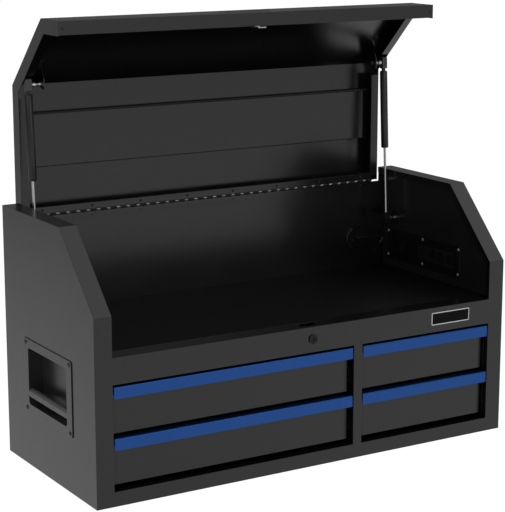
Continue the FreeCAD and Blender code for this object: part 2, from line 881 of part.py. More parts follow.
# ------------------------------------------------------------- gas struts
foot_y, foot_z = front + strut_foot_back, strut_foot_height
top_y = hinge_y + strut_top_height - hinge_z
top_z = hinge_z + hinge_y - strut_top_y
strut_length = math.hypot(top_y - foot_y, top_z - foot_z)
strut_lean = math.degrees(math.atan2(top_y - foot_y, top_z - foot_z))
tube_start = strut_length - socket_reach - neck_length - tube_length


def upright(radius, low, high):
    return Part.makeCylinder(radius, high - low, vector(-strut_x, 0, low), vector(0, 0, 1))


def leaned(shape):
    # From upright over the lower pivot to the strut's own slant.
    shape.rotate(vector(-strut_x, 0, 0), vector(1, 0, 0), -strut_lean)
    shape.translate(vector(0, foot_y, foot_z))
    return shape


def socket(pivot, side):
    # A moulded end; side is +1 where it reaches up from the pivot and -1 where down.
    low, high = sorted([pivot - side * socket_beyond, pivot + side * socket_reach])
    half = socket_width / 2
    block = box(-strut_x - half, -strut_x + half, -socket_depth / 2, socket_depth / 2, low, high)
    return rounded(block, socket_round, vector(1, 0, 0))


def strut_tube():
    high = tube_start + tube_length
    tube = upright(tube_radius, tube_start, high)
    bore = upright(tube_bore, tube_start + tube_end_wall, high - tube_end_wall)
    guide = upright(rod_radius + strut_running_gap, tube_start - 1, tube_start + tube_end_wall)
    return tube.cut([bore, guide])


def strut_top_socket():
    neck = upright(neck_radius, tube_start + tube_length, strut_length - socket_reach)
    block = union([socket(strut_length, -1), neck])
    seat = hole_x(pivot_radius, -strut_x - pivot_length - pivot_gap, -strut_x + socket_width,
                  0, strut_length)
    return block.cut(seat)


def strut_rod():
    end = tube_start + rod_overlap
    shaft = upright(rod_radius, socket_reach, end)
    piston = upright(tube_bore - strut_running_gap, end, end + piston_length)
    return union([shaft, piston])


def foot_bracket():
    # A hat shaped bracket on the side panel.
    web = -wall_x + bracket_reach
    half_y, half_z = bracket_width / 2, bracket_height / 2
    y0, y1 = foot_y - half_y, foot_y + half_y
    line = [
        (-wall_x, foot_z - half_z - bracket_ear),
        (-wall_x, foot_z - half_z),
        (web, foot_z - half_z),
        (web, foot_z + half_z),
        (-wall_x, foot_z + half_z),
        (-wall_x, foot_z + half_z + bracket_ear),
    ]
    hat = profile_y(band(line, 0, bracket_sheet), y0, y1)
    hole = hole_x(stud_radius, web - 1, web + bracket_sheet + 1, foot_y, foot_z)
    return hat.cut(hole)


save("strut_foot_brackets", *both_sides(foot_bracket()))


def foot_stud():
    # Its tip stops just short of the strut's lower socket.
    tip = -strut_x - socket_width / 2 - open_pivot_gap
    web = -wall_x + bracket_reach
    seat = web + bracket_sheet
    return union([
        bar_x(stud_radius, web, tip, foot_y, foot_z),
        bar_x(collar_radius, tip - collar_gap - collar_length, tip - collar_gap, foot_y, foot_z),
        bar_x(collar_radius, seat, seat + collar_length, foot_y, foot_z),
        bar_x(rivet_radius, web - rivet_height, web, foot_y, foot_z),
    ])


save("strut_foot_studs", *both_sides(foot_stud()))
strut_pieces = {
    "tube": strut_tube(),
    "top_socket": strut_top_socket(),
    "rod": strut_rod(),
    "foot_socket": socket(0, 1),
}
for name, shape in strut_pieces.items():
    save("left_strut_" + name, leaned(shape))
    save("right_strut_" + name, mirrored(shape))


# ------------------------------------------------------------- drawers
def drawer_box(x0, x1, z0):
    # A folded tray: front as high as the row, lower sides with a hem, lower back.
    y0 = front + drawer_recess
    y1 = y0 + drawer_length
    side_top = z0 + drawer_height - drawer_side_drop
    t = drawer_sheet
    return union([
        box(x0, x1, y0, y1, z0, z0 + t),
        box(x0, x1, y0, y0 + t, z0, z0 + drawer_height),
        box(x0, x1, y0, y0 + drawer_hem, z0 + drawer_height - t, z0 + drawer_height),
        box(x0, x1, y1 - t, y1, z0, side_top),
        box(x0, x0 + t, y0, y1, z0, side_top),
        box(x1 - t, x1, y0, y1, z0, side_top),
        box(x0, x0 + drawer_hem, y0, y1, side_top - t, side_top),
        box(x1 - drawer_hem, x1, y0, y1, side_top - t, side_top),
    ])


def drawer_pull(x0, x1, z0):
    # A channel hooked over the drawer front, open below for the fingers.
    top = z0 + drawer_height
    rear = front + drawer_recess
    line = [
        (rear, top - pull_web),
        (rear, top),
        (front, top),
        (front, top - pull_height),
        (front + pull_hem + pull_wall, top - pull_height),
    ]
    shape = profile_x(band(line, -pull_wall, 0), x0 + pull_side_gap, x1 - pull_side_gap)
    return shape.makeFillet(pull_round, edges_at(shape, front, top))


def slide_member(face, side, web, tip, half):
    # A C section; web and tip are the distances of its web and its cheeks' ends from the face.
    y0 = front + slide_setback
    y1 = y0 + slide_length
    turn = 1 if tip > web else -1
    spans = [(web, web + turn * slide_wall, -half, half)]
    spans += [(web, tip, half - slide_wall, half), (web, tip, -half, -half + slide_wall)]
    parts = []
    for a, b, low, high in spans:
        xa, xb = sorted([face + side * a, face + side * b])
        parts.append(box(xa, xb, y0, y1, low, high))
    return union(parts)


middle_web = slide_wall + slide_gap
slide_members = {
    "rails": (0, slide_cheek, slide_height / 2),
    "middles": (middle_web, slide_cheek, slide_height / 2 - middle_web),
    "inners": (slide_space, middle_web + slide_wall + slide_gap,
               slide_height / 2 - 2 * middle_web),
}

for row, z0 in rows.items():
    for bay, (x0, x1) in bays.items():
        name = row + "_" + bay
        save(name + "_drawer_box", drawer_box(x0 + slide_space, x1 - slide_space, z0))
        save(name + "_drawer_pull", drawer_pull(x0, x1, z0))
        for member, (web, tip, half) in slide_members.items():
            pair = [slide_member(x0, 1, web, tip, half), slide_member(x1, -1, web, tip, half)]
            for shape in pair:
                shape.translate(vector(0, 0, z0 + slide_above_drawer))
            save(name + "_slide_" + member, *pair)
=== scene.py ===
import bpy
import bmesh
import math
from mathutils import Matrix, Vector


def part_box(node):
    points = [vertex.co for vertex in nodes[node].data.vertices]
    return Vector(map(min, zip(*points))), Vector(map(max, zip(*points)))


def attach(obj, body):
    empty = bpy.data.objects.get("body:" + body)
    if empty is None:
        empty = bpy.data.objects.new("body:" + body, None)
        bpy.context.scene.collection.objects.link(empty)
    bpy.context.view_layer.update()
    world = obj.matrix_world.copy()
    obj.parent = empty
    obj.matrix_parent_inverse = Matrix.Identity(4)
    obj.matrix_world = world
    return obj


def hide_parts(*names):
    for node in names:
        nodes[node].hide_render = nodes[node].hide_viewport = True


# A machinist tool chest with its lid held open by gas struts. Metres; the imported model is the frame.
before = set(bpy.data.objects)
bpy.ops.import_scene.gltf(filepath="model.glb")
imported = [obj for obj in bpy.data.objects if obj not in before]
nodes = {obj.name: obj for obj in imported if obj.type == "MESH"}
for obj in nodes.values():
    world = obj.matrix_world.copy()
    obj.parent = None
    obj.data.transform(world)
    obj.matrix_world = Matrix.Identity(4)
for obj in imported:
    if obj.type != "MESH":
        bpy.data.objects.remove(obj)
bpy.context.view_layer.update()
mm = 0.001


# Small tools that every piece uses.
def linear(hexColour):  # sRGB hex to Blender's linear colour
    parts = [int(hexColour[i:i + 2], 16) / 255 for i in (1, 3, 5)]
    return [p / 12.92 if p <= 0.04045 else ((p + 0.055) / 1.055) ** 2.4 for p in parts] + [1.0]


def addNode(tree, kind, inputs=None, **settings):  # a node with its settings and what feeds it
    node = tree.nodes.new(kind)
    for name, value in settings.items():
        setattr(node, name, value)
    for key, value in (inputs or {}).items():
        if isinstance(value, bpy.types.NodeSocket):
            tree.links.new(value, node.inputs[key])
        else:
            node.inputs[key].default_value = value
    return node


def linkObject(name, mesh):
    piece = bpy.data.objects.new(name, mesh)
    bpy.context.scene.collection.objects.link(piece)
    return piece


def finishPiece(piece, body, replaced=()):
    if replaced:
        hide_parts(*replaced)
    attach(piece, body)
    return piece


# Materials, each made by a function for its kind of finish.
def newMaterial(name):
    material = bpy.data.materials.new(name)
    material.use_nodes = True
    tree = material.node_tree
    tree.nodes.clear()
    shader = addNode(tree, "ShaderNodeBsdfPrincipled")
    addNode(tree, "ShaderNodeOutputMaterial", {"Surface": shader.outputs["BSDF"]})
    return material, tree, shader


def objectNoise(tree, sizeMm, detail=2.0, rough=0.5, stretch=None):
    # Noise whose lumps are about sizeMm across; stretch lengthens them along axes.
    place = addNode(tree, "ShaderNodeTexCoord").outputs["Object"]
    if stretch:
        place = addNode(tree, "ShaderNodeMapping", {"Vector": place, "Scale": stretch}).outputs[0]
    return addNode(tree, "ShaderNodeTexNoise",
                   {"Vector": place, "Scale": 1.0 / (sizeMm * mm), "Detail": detail,
                    "Roughness": rough})


def ramp(tree, fac, low, high, a, b):
    # Turns a 0 to 1 pattern into a span of numbers or a pair of colours.
    isColour = not isinstance(a, (int, float))
    if not isColour:
        return addNode(tree, "ShaderNodeMapRange",
                       {"Value": fac, "From Min": low, "From Max": high, "To Min": a,
                        "To Max": b}).outputs[0]
    node = addNode(tree, "ShaderNodeValToRGB", {"Fac": fac})
    first, last = node.color_ramp.elements
    first.position, first.color = low, a
    last.position, last.color = high, b
    return node.outputs["Color"]


def softEdges(tree, radiusMm, bump=None):
    # Folded and moulded edges catch light along a small radius.
    inputs = {"Radius": radiusMm * mm}
    if bump is not None:
        inputs["Normal"] = bump
    return addNode(tree, "ShaderNodeBevel", inputs, samples=4).outputs["Normal"]


def bumpOf(tree, height, distanceMm, strength=1.0):
    return addNode(tree, "ShaderNodeBump", {"Height": height, "Distance": distanceMm * mm,
                                            "Strength": strength}).outputs["Normal"]


def powderCoat(name, hexDark, hexPale, roughness, edgeMm=1.0, ior=1.5):
    # Polyester powder coat, sprayed and baked on steel: IOR 1.5, a fine orange peel that
    # spreads the highlights, faint clouding and no metal in it.
    material, tree, shader = newMaterial(name)
    cloud = objectNoise(tree, 60.0, detail=3.0).outputs["Fac"]
    peel = objectNoise(tree, 1.6, detail=2.0).outputs["Fac"]  # 0.6 mm peel, drawn coarser
    tree.links.new(ramp(tree, cloud, 0.3, 0.7, linear(hexDark), linear(hexPale)),
                   shader.inputs["Base Color"])
    tree.links.new(ramp(tree, cloud, 0.3, 0.7, roughness - 0.015, roughness + 0.02),
                   shader.inputs["Roughness"])
    tree.links.new(softEdges(tree, edgeMm, bumpOf(tree, peel, 0.02, 0.12)),
                   shader.inputs["Normal"])
    shader.inputs["IOR"].default_value = ior
    return material


def mouldedPlastic(name, hexDark, hexPale, roughness):
    # Glass-filled nylon moulded in a spark-eroded tool: matt, IOR 1.53, fine even grain.
    material, tree, shader = newMaterial(name)
    cloud = objectNoise(tree, 14.0).outputs["Fac"]
    grain = addNode(tree, "ShaderNodeTexVoronoi", {
        "Vector": addNode(tree, "ShaderNodeTexCoord").outputs["Object"],
        "Scale": 1.0 / (0.7 * mm)}).outputs["Distance"]
    tree.links.new(ramp(tree, cloud, 0.3, 0.7, linear(hexDark), linear(hexPale)),
                   shader.inputs["Base Color"])
    tree.links.new(ramp(tree, cloud, 0.3, 0.7, roughness - 0.04, roughness + 0.04),
                   shader.inputs["Roughness"])
    tree.links.new(softEdges(tree, 0.5, bumpOf(tree, grain, 0.04, 0.4)), shader.inputs["Normal"])
    shader.inputs["IOR"].default_value = 1.53
    return material


def brushedMetal(name, hexDark, hexPale, roughness, grainMm, stretch, edgeMm=0.4):
    # Drawn or brushed metal: long fine scratches along the working direction.
    material, tree, shader = newMaterial(name)
    grain = objectNoise(tree, grainMm, detail=3.0, stretch=stretch).outputs["Fac"]
    tree.links.new(ramp(tree, grain, 0.3, 0.7, linear(hexDark), linear(hexPale)),
                   shader.inputs["Base Color"])
    tree.links.new(ramp(tree, grain, 0.3, 0.7, roughness - 0.06, roughness + 0.06),
                   shader.inputs["Roughness"])
    tree.links.new(softEdges(tree, edgeMm, bumpOf(tree, grain, 0.02, 0.5)),
                   shader.inputs["Normal"])
    shader.inputs["Metallic"].default_value = 1.0
    return material


finishes = {
    "blackPowderCoat": powderCoat("blackPowderCoat", "#0b0b0b", "#0f0f0f", 0.22),
    # A slightly paler copy of the black coat for the compartment's panels: painted light.
    "paintedLightInnerCoat": powderCoat("paintedLightInnerCoat", "#0f0f0f", "#131313", 0.22),
    # A paler copy of the black coat for the inner side walls: painted light.
    "paintedLightWallCoat": powderCoat("paintedLightWallCoat", "#191919", "#1e1e1e", 0.24),
    "handlePaint": powderCoat("handlePaint", "#272727", "#2d2d2d", 0.3, 0.6),
    "strutLacquer": powderCoat("strutLacquer", "#0c0c0c", "#101010", 0.42, 0.5),
    "gripNylon": mouldedPlastic("gripNylon", "#4a4a4a", "#525252", 0.42),
    "greyZinc": brushedMetal("greyZinc", "#505153", "#606163", 0.4, 0.8, (1.0, 1.0, 1.0)),
    "blackNylon": mouldedPlastic("blackNylon", "#282828", "#303030", 0.4),
    "stripNylon": mouldedPlastic("stripNylon", "#080808", "#0c0c0c", 0.35),
    "stripFace": mouldedPlastic("stripFace", "#0b0b0b", "#101010", 0.25),
    "glossNylon": mouldedPlastic("glossNylon", "#1c1c1d", "#242425", 0.14),
    # Near-black matt finish: the own black of the case knuckles and lid leaf rivets, and painted shade
    # on the stiffener's strips.
    "flatBlackAndShade": mouldedPlastic("flatBlackAndShade", "#040404", "#060606", 0.75),
    "badgeBlack": powderCoat("badgeBlack", "#030303", "#050505", 0.5, 0.4, 1.18),
    "badgeRim": brushedMetal("badgeRim", "#b9bbbd", "#cfd1d3", 0.32, 0.4, (0.05, 1.0, 1.0)),
    "grommetRubber": mouldedPlastic("grommetRubber", "#0a0a0a", "#0e0e0e", 0.28),
    "blueAnodised": brushedMetal("blueAnodised", "#264a88", "#305699", 0.4, 0.5,
                                 (0.04, 1.0, 1.0), 0.8),
    "zincPlate": brushedMetal("zincPlate", "#9fa1a1", "#c4c6c6", 0.3, 0.8, (1.0, 0.08, 1.0)),
    "hingeZinc": brushedMetal("hingeZinc", "#8a8c8c", "#929494", 0.34, 20.0, (1.0, 1.0, 1.0)),
    # A darker, less reflective copy of the black coat for the compartment floor: painted shade.
    "paintedShadeFloorCoat": powderCoat("paintedShadeFloorCoat", "#070707", "#0a0a0a", 0.5, 1.0, 1.25),
    "screwZinc": brushedMetal("screwZinc", "#cccece", "#dcdede", 0.34, 1.0, (1.0, 1.0, 1.0)),
    "blackZinc": brushedMetal("blackZinc", "#1f2022", "#2b2c30", 0.4, 0.8, (1.0, 0.08, 1.0)),
    "nickelPlate": brushedMetal("nickelPlate", "#242424", "#303030", 0.24, 0.6,
                                (1.0, 1.0, 1.0), 0.6),
    "groundRod": brushedMetal("groundRod", "#a8aaab", "#c9cbcc", 0.22, 0.5, (1.0, 1.0, 0.1)),
}


def finishFor(node):
    # The compartment floor takes the darker copy of the black coat: painted shade.
    if node == "compartment_floor":
        return "paintedShadeFloorCoat"
    # The compartment's panels take the paler copy of the black coat: painted light.
    if node in ("rear_panel", "column_divider", "slide_uprights", "base_pan"):
        return "paintedLightInnerCoat"
    if "slide_" in node:
        return "blackZinc"
    if node.endswith("drawer_pull"):
        return "blueAnodised"
    if "handle_dish" in node:
        return "handlePaint"
    if node.endswith("foot_socket"):
        return "stripNylon"
    if "handle_grip" in node:
        return "gripNylon"
    if node.endswith("socket"):
        return "blackNylon"
    if node.endswith("strut_tube"):
        return "strutLacquer"
    if node.endswith("strut_rod"):
        return "groundRod"
    if node.startswith("power_strip") and not node.endswith("screws") or node == "power_rocker":
        return "stripNylon"
    if node == "cable_grommet":
        return "grommetRubber"
    if node in ("lock_barrel", "lock_plug"):
        return "nickelPlate"
    if node.endswith("screws") or node.endswith("studs") or node.startswith("hinge") \
            or node in ("latch_hook", "lock_cam"):
        return "zincPlate"
    return "blackPowderCoat"


for nodeName, nodeObject in nodes.items():
    nodeObject.data.materials.clear()
    nodeObject.data.materials.append(finishes[finishFor(nodeName)])
print("materials: every frame node has its finish")


# Tools for Geometry Nodes trees.
def newTree(name, sockets):
    tree = bpy.data.node_groups.new(name, "GeometryNodeTree")
    tree.interface.new_socket("Geometry", in_out="INPUT", socket_type="NodeSocketGeometry")
    tree.interface.new_socket("Geometry", in_out="OUTPUT", socket_type="NodeSocketGeometry")
    for label, kind in sockets.items():
        tree.interface.new_socket(label, in_out="INPUT", socket_type="NodeSocket" + kind)
    return tree, addNode(tree, "NodeGroupInput").outputs, addNode(tree, "NodeGroupOutput")


def endTree(tree, out, geometry, material):
    # Every tree ends in real geometry with its material on it.
    real = addNode(tree, "GeometryNodeRealizeInstances", {"Geometry": geometry})
    dressed = addNode(tree, "GeometryNodeSetMaterial", {"Geometry": real.outputs["Geometry"],
                                                        "Material": material})
    tree.links.new(dressed.outputs["Geometry"], out.inputs["Geometry"])
    return tree


def runTree(name, mesh, tree, values):
    # The tree's result as a plain mesh of its own.
    source = linkObject(name + "Source", mesh)
    modifier = source.modifiers.new("build", "NODES")
    modifier.node_group = tree
    for item in tree.interface.items_tree:
        if item.in_out == "INPUT" and item.name in values:
            modifier[item.identifier] = values[item.name]
    made = bpy.data.meshes.new_from_object(
        source.evaluated_get(bpy.context.evaluated_depsgraph_get()))
    made.name = name
    bpy.data.objects.remove(source)
    return linkObject(name, made)


def pointMesh(name, places, facing):
    # Loose points, each with the way that its fastener faces.
    mesh = bpy.data.meshes.new(name)
    mesh.from_pydata([Vector(p) * mm for p in places], [], [])
    attribute = mesh.attributes.new("facing", "FLOAT_VECTOR", "POINT")
    for i, way in enumerate(facing):
        attribute.data[i].vector = way
    return mesh


def onPoints(tree, inputs, instance):
    # Copies of a fastener on the points, turned to face their way.
    points = addNode(tree, "GeometryNodeMeshToPoints", {"Mesh": inputs["Geometry"]})
    facing = addNode(tree, "GeometryNodeInputNamedAttribute", {"Name": "facing"},
                     data_type="FLOAT_VECTOR")
    turn = addNode(tree, "FunctionNodeAlignRotationToVector",
                   {"Vector": facing.outputs["Attribute"]}, axis="Z")
    return addNode(tree, "GeometryNodeInstanceOnPoints",
                   {"Points": points.outputs["Points"], "Instance": instance,
                    "Rotation": turn.outputs["Rotation"]}).outputs["Instances"]


def moved(tree, geometry, x=0.0, y=0.0, z=0.0):
    offset = addNode(tree, "ShaderNodeCombineXYZ", {"X": x, "Y": y, "Z": z})
    return addNode(tree, "GeometryNodeTransform",
                   {"Geometry": geometry, "Translation": offset.outputs[0]}).outputs[0]


def math2(tree, operation, a, b=0.0):
    return addNode(tree, "ShaderNodeMath", {0: a, 1: b}, operation=operation).outputs[0]


# Cross-recess screws.
def screwTree():
    # A pan head with a crowned top and a cross cut into it; origin on the seat, facing Z.
    tree, inputs, out = newTree("panHeadScrews", {
        "Radius": "Float", "Height": "Float", "Cross": "Float", "Material": "Material"})
    lowHeight = math2(tree, "MULTIPLY", inputs["Height"], 0.55)
    low = addNode(tree, "GeometryNodeMeshCylinder", {
        "Vertices": 28, "Radius": inputs["Radius"], "Depth": lowHeight}).outputs["Mesh"]
    low = moved(tree, low, z=math2(tree, "MULTIPLY", lowHeight, 0.5))
    crown = addNode(tree, "GeometryNodeMeshUVSphere", {
        "Segments": 28, "Rings": 12, "Radius": inputs["Radius"]}).outputs["Mesh"]
    flat = addNode(tree, "ShaderNodeCombineXYZ", {
        "X": 1.0, "Y": 1.0,
        "Z": math2(tree, "DIVIDE", math2(tree, "MULTIPLY", inputs["Height"], 0.45),
                   inputs["Radius"])})
    crown = addNode(tree, "GeometryNodeTransform", {
        "Geometry": crown, "Scale": flat.outputs[0]}).outputs[0]
    crown = moved(tree, crown, z=lowHeight)
    wide = math2(tree, "MULTIPLY", inputs["Cross"], 2.0)
    thin = math2(tree, "MULTIPLY", inputs["Cross"], 0.42)
    cuts = []
    for size in ((wide, thin), (thin, wide)):
        shape = addNode(tree, "ShaderNodeCombineXYZ", {"X": size[0], "Y": size[1],
                                                       "Z": inputs["Height"]})
        bar = addNode(tree, "GeometryNodeMeshCube", {"Size": shape.outputs[0]}).outputs["Mesh"]
        cuts.append(moved(tree, bar, z=inputs["Height"]))
    solid = addNode(tree, "GeometryNodeMeshBoolean", operation="UNION", solver="EXACT")
    tree.links.new(low, solid.inputs["Mesh 2"])
    tree.links.new(crown, solid.inputs["Mesh 2"])
    cut = addNode(tree, "GeometryNodeMeshBoolean", {"Mesh 1": solid.outputs["Mesh"]},
                  operation="DIFFERENCE", solver="EXACT")
    for bar in cuts:
        tree.links.new(bar, cut.inputs["Mesh 2"])
    return endTree(tree, out, onPoints(tree, inputs, cut.outputs["Mesh"]), inputs["Material"])


screws = {"handleRadius": 4.5, "handleHeight": 2.4, "handleCross": 2.1,
          "stripRadius": 4.3, "stripHeight": 2.6, "stripCross": 1.6}
panHeads = screwTree()


def cornersOfNode(node, count):
    # Middles of a node's separate solids, found from its mesh, in millimetres.
    mesh = bmesh.new()
    mesh.from_mesh(nodes[node].data)
    bmesh.ops.remove_doubles(mesh, verts=mesh.verts, dist=1e-6)
    left, middles = set(mesh.verts), []
    while left:
        group, stack = set(), [left.pop()]
        while stack:
            vert = stack.pop()
            group.add(vert)
            for edge in vert.link_edges:
                other = edge.other_vert(vert)
                if other in left:
                    left.discard(other)
                    stack.append(other)
        low = [min(v.co[i] for v in group) / mm for i in range(3)]
        high = [max(v.co[i] for v in group) / mm for i in range(3)]
        middles.append((low, high))
    mesh.free()
    assert len(middles) == count, (node, len(middles))
    return middles


def outwardOf(node, low):
    # Handle screws face away from the middle, those of the power strip towards it.
    side = 1 if low[0] > 0 else -1
    return side if node == "handle_screws" else -side


def screwPiece(name, node, count, radius, height, cross, finish):
    places, facing = [], []
    for low, high in cornersOfNode(node, count):
        outward = outwardOf(node, low)
        x = low[0] + height if outward < 0 else high[0] - height
        places.append((x, (low[1] + high[1]) / 2, (low[2] + high[2]) / 2))
        facing.append((outward, 0, 0))
    piece = runTree(name, pointMesh(name, places, facing), panHeads, {
        "Radius": radius * mm, "Height": height * mm, "Cross": cross * mm,
        "Material": finishes[finish]})
    return finishPiece(piece, "case", [node])


screwPiece("handlePanHeads", "handle_screws", 8, screws["handleRadius"],
           screws["handleHeight"], screws["handleCross"], "greyZinc")
screwPiece("stripPanHeads", "power_strip_screws", 6, screws["stripRadius"],
           screws["stripHeight"], screws["stripCross"], "screwZinc")
print("screws: cross-recess heads on the handles and the power strip")

# Continuous hinge.
hinge = {
    "pinY": 219.5, "pinZ": 528.75,
    "radius": 2.6, "bore": 1.55, "knuckle": 12.35, "pitch": 25.1,
    "half": 457.975, "stripStart": 2.7, "leafStart": 3.5, "leafHeight": 13.5, "leafThickness": 1.0,
    "tabFrom": 2.25, "caseLeafBack": 0.3, "caseCount": 37, "lidCount": 36,
}


def knuckleTree():
    # Rolled knuckles in a row along X, each with a tab that runs to its leaf.
    tree, inputs, out = newTree("hingeKnuckles", {
        "Count": "Int", "First X": "Float", "Pitch": "Float", "Knuckle": "Float",
        "Radius": "Float", "Bore": "Float", "Leaf Out": "Float", "Tab From": "Float",
        "Leaf Start": "Float", "Thickness": "Float", "Turn": "Float", "Pin Y": "Float",
        "Pin Z": "Float", "Material": "Material"})
    middle = math2(tree, "MULTIPLY", math2(tree, "ADD", inputs["Radius"], inputs["Bore"]), 0.5)
    wall = math2(tree, "SUBTRACT", inputs["Radius"], inputs["Bore"])
    round_ = addNode(tree, "GeometryNodeCurvePrimitiveCircle", {
        "Resolution": 24, "Radius": middle}).outputs["Curve"]
    section = addNode(tree, "GeometryNodeCurvePrimitiveQuadrilateral", {
        "Width": wall, "Height": inputs["Knuckle"]}).outputs["Curve"]
    roll = addNode(tree, "GeometryNodeCurveToMesh", {
        "Curve": round_, "Profile Curve": section}).outputs["Mesh"]
    roll = addNode(tree, "GeometryNodeTransform", {
        "Geometry": roll, "Rotation": (0.0, math.radians(90), 0.0)}).outputs[0]
    tabHeight = math2(tree, "SUBTRACT", inputs["Leaf Start"], inputs["Tab From"])
    tabSize = addNode(tree, "ShaderNodeCombineXYZ", {
        "X": inputs["Knuckle"], "Y": inputs["Thickness"], "Z": tabHeight}).outputs[0]
    tab = addNode(tree, "GeometryNodeMeshCube", {"Size": tabSize}).outputs["Mesh"]
    tabZ = math2(tree, "MULTIPLY", math2(tree, "ADD", inputs["Leaf Start"],
                                         inputs["Tab From"]), 0.5)
    tab = moved(tree, tab, y=inputs["Leaf Out"], z=tabZ)
    knuckle = addNode(tree, "GeometryNodeJoinGeometry")
    tree.links.new(roll, knuckle.inputs[0])
    tree.links.new(tab, knuckle.inputs[0])
    start = addNode(tree, "ShaderNodeCombineXYZ", {"X": inputs["First X"]}).outputs[0]
    step = addNode(tree, "ShaderNodeCombineXYZ", {"X": inputs["Pitch"]}).outputs[0]
    row = addNode(tree, "GeometryNodeMeshLine", {
        "Count": inputs["Count"], "Start Location": start, "Offset": step}).outputs["Mesh"]
    copies = addNode(tree, "GeometryNodeInstanceOnPoints", {
        "Points": row, "Instance": knuckle.outputs[0]}).outputs["Instances"]
    turn = addNode(tree, "ShaderNodeCombineXYZ", {"X": inputs["Turn"]}).outputs[0]
    place = addNode(tree, "ShaderNodeCombineXYZ", {
        "Y": inputs["Pin Y"], "Z": inputs["Pin Z"]}).outputs[0]
    placed = addNode(tree, "GeometryNodeTransform", {
        "Geometry": copies, "Rotation": turn, "Translation": place}).outputs[0]
    return endTree(tree, out, placed, inputs["Material"])


knuckleRow = knuckleTree()


def knuckles(name, node, body, count, first, leafOut, turn, finish):
    values = {
        "Count": count, "First X": first * mm, "Pitch": hinge["pitch"] * mm,
        "Knuckle": hinge["knuckle"] * mm, "Radius": hinge["radius"] * mm,
        "Bore": hinge["bore"] * mm, "Leaf Out": leafOut * mm,
        "Tab From": hinge["tabFrom"] * mm, "Leaf Start": hinge["leafStart"] * mm,
        "Thickness": hinge["leafThickness"] * mm, "Turn": math.radians(turn),
        "Pin Y": hinge["pinY"] * mm, "Pin Z": hinge["pinZ"] * mm,
        "Material": finishes[finish]}
    piece = runTree(name, bpy.data.meshes.new(name + "Seed"), knuckleRow, values)
    return finishPiece(piece, body, [node])


def block(name, corners, finish, body, edge=0.0):
    # A plain box between two corners in millimetres.
    low, high = [Vector(c) * mm for c in corners]
    mesh = bpy.data.meshes.new(name)
    spots = [(x, y, z) for x in (low.x, high.x) for y in (low.y, high.y)
             for z in (low.z, high.z)]
    mesh.from_pydata(spots, [], [(0, 1, 3, 2), (4, 6, 7, 5), (0, 4, 5, 1), (2, 3, 7, 6),
                                 (0, 2, 6, 4), (1, 5, 7, 3)])
    mesh.materials.append(finishes[finish])
    piece = linkObject(name, mesh)
    if edge:
        soft = piece.modifiers.new("soft", "BEVEL")
        soft.width = edge * mm
        soft.segments = 3
    return finishPiece(piece, body)


def sheetForm(name, outlines, finish, body, replaced=()):
    # Flat prisms across the chest: each outline is (y, z) points between two x places.
    mesh = bmesh.new()
    for x0, x1, outline in outlines:
        ring = [mesh.verts.new((x0 * mm, y * mm, z * mm)) for y, z in outline]
        made = bmesh.ops.extrude_face_region(mesh, geom=[mesh.faces.new(ring)])
        for vert in made["geom"]:
            if isinstance(vert, bmesh.types.BMVert):
                vert.co.x = x1 * mm
    bmesh.ops.recalc_face_normals(mesh, faces=mesh.faces)
    data = bpy.data.meshes.new(name)
    mesh.to_mesh(data)
    mesh.free()
    data.materials.append(finishes[finish])
    return finishPiece(linkObject(name, data), body, replaced)


def slab(name, outline, y0, y1, finish, body, bevel):
    # A plate with the outline's shape between two depths, its front edge softened.
    mesh = bmesh.new()
    ring = [mesh.verts.new((x * mm, y0 * mm, z * mm)) for x, z in outline]
    face = mesh.faces.new(ring)
    made = bmesh.ops.extrude_face_region(mesh, geom=[face])
    for vert in made["geom"]:
        if isinstance(vert, bmesh.types.BMVert):
            vert.co.y = y1 * mm
    bmesh.ops.recalc_face_normals(mesh, faces=mesh.faces)
    data = bpy.data.meshes.new(name)
    mesh.to_mesh(data)
    mesh.free()
    data.materials.append(finishes[finish])
    piece = linkObject(name, data)
    soft = piece.modifiers.new("soft", "BEVEL")
    soft.width = bevel * mm
    soft.segments = 3
    soft.limit_method = "ANGLE"
    soft.angle_limit = math.radians(50)
    return finishPiece(piece, body)


firstKnuckle = -hinge["half"] + hinge["knuckle"] / 2
leafLow, leafHigh = hinge["stripStart"], hinge["leafStart"] + hinge["leafHeight"]
halfLeaf = hinge["leafThickness"] / 2
knuckles("hingeCaseKnuckles", "hinge_case_leaf", "case", hinge["caseCount"], firstKnuckle,
         -hinge["caseLeafBack"], 180.0, "flatBlackAndShade")
knuckles("hingeLidKnuckles", "hinge_lid_leaf", "lid", hinge["lidCount"],
         firstKnuckle + hinge["pitch"] / 2, 0.0, 0.0, "hingeZinc")
block("hingeCaseStrip", [
    (-hinge["half"], hinge["pinY"] + hinge["caseLeafBack"] - halfLeaf,
     hinge["pinZ"] - leafHigh),
    (hinge["half"], hinge["pinY"] + hinge["caseLeafBack"] + halfLeaf,
     hinge["pinZ"] - leafLow)],
    "blackPowderCoat", "case")
block("hingeLidStrip", [
    (-hinge["half"], hinge["pinY"] - halfLeaf, hinge["pinZ"] + leafLow),
    (hinge["half"], hinge["pinY"] + halfLeaf, hinge["pinZ"] + leafHigh)],
    "blackPowderCoat", "lid")
print("hinge: two rows of interleaved knuckles on painted leaves")


# Rivets.
def rivetTree():
    # A low dome on each point, sunk a little into its sheet.
    tree, inputs, out = newTree("rivetHeads", {
        "Radius": "Float", "Height": "Float", "Material": "Material"})
    ballShape = addNode(tree, "GeometryNodeMeshUVSphere", {
        "Segments": 20, "Rings": 10, "Radius": inputs["Radius"]}).outputs["Mesh"]
    squash = addNode(tree, "ShaderNodeCombineXYZ", {
        "X": 1.0, "Y": 1.0, "Z": math2(tree, "DIVIDE", inputs["Height"], inputs["Radius"])})
    dome = addNode(tree, "GeometryNodeTransform", {
        "Geometry": ballShape, "Scale": squash.outputs[0]}).outputs[0]
    return endTree(tree, out, onPoints(tree, inputs, dome), inputs["Material"])


